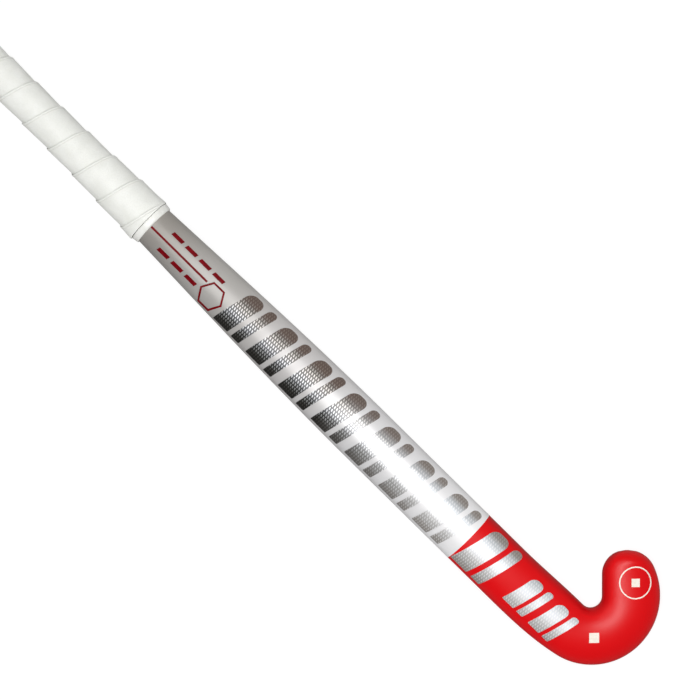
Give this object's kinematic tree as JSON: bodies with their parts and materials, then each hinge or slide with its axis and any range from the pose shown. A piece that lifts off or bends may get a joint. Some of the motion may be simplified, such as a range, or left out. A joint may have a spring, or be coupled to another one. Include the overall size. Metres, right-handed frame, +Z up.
{
  "type": "field hockey stick",
  "caption": "Right-handed composite field hockey stick with a hooked head, flat face, rounded back, low bow and a wound handle grip.",
  "frame": {"origin": "centre of the bounding box's footprint, on the ground that the stick lies on", "axes": "+X along the shaft towards the head, +Y across towards the toe, +Z up; the flat playing face is down and the rounded back is up"},
  "size_m": [0.9274, 0.1186, 0.0514],
  "materials": {
    "lacquer": "satin pearl silver lacquer over laminate, red on the head below 170 mm",
    "foil": "woven-texture silver foil under clear lacquer",
    "red_ink": "printed dark red ink under clear lacquer",
    "cream_ink": "printed cream ink under clear lacquer",
    "grip_tape": "white polyurethane grip tape, fine grain, matt",
    "grip_underlay": "thin foam underlay",
    "finish_tape": "white finishing tape",
    "cap_rubber": "off-white moulded rubber",
    "foam": "rigid polyurethane foam",
    "carbon": "bare carbon laminate",
    "aramid": "yellow aramid cloth in resin"
  },
  "bodies": {
    "root": {"laminate_shell": "lacquer", "head_core": "foam", "hook_reinforcement": "aramid", "face_stiffener": "carbon", "back_stiffener": "carbon", "core_tube_toe_side": "carbon", "core_tube_heel_side": "carbon", "butt_plug": "foam", "end_cap": "cap_rubber", "grip_underlay": "grip_underlay", "grip_tape": "grip_tape", "finishing_tape": "finish_tape", "foil_bar_wide_1": "foil", "foil_bar_narrow_1": "foil", "foil_bar_wide_2": "foil", "foil_bar_narrow_2": "foil", "foil_bar_wide_3": "foil", "foil_bar_narrow_3": "foil", "foil_bar_wide_4": "foil", "foil_bar_narrow_4": "foil", "foil_bar_wide_5": "foil", "foil_bar_narrow_5": "foil", "foil_bar_wide_6": "foil", "foil_bar_narrow_6": "foil", "foil_bar_wide_7": "foil", "foil_bar_narrow_7": "foil", "foil_bar_wide_8": "foil", "foil_bar_narrow_8": "foil", "foil_bar_wide_9": "foil", "foil_bar_narrow_9": "foil", "foil_bar_wide_10": "foil", "foil_bar_narrow_10": "foil", "red_stripe": "red_ink", "hexagon_mark": "red_ink", "dash_row_1_1": "red_ink", "dash_row_1_2": "red_ink", "dash_row_1_3": "red_ink", "dash_row_1_4": "red_ink", "dash_row_2_1": "red_ink", "dash_row_2_2": "red_ink", "dash_row_2_3": "red_ink", "toe_ring": "cream_ink", "toe_diamond": "cream_ink", "tip_diamond": "cream_ink"}
  },
  "joints": []
}
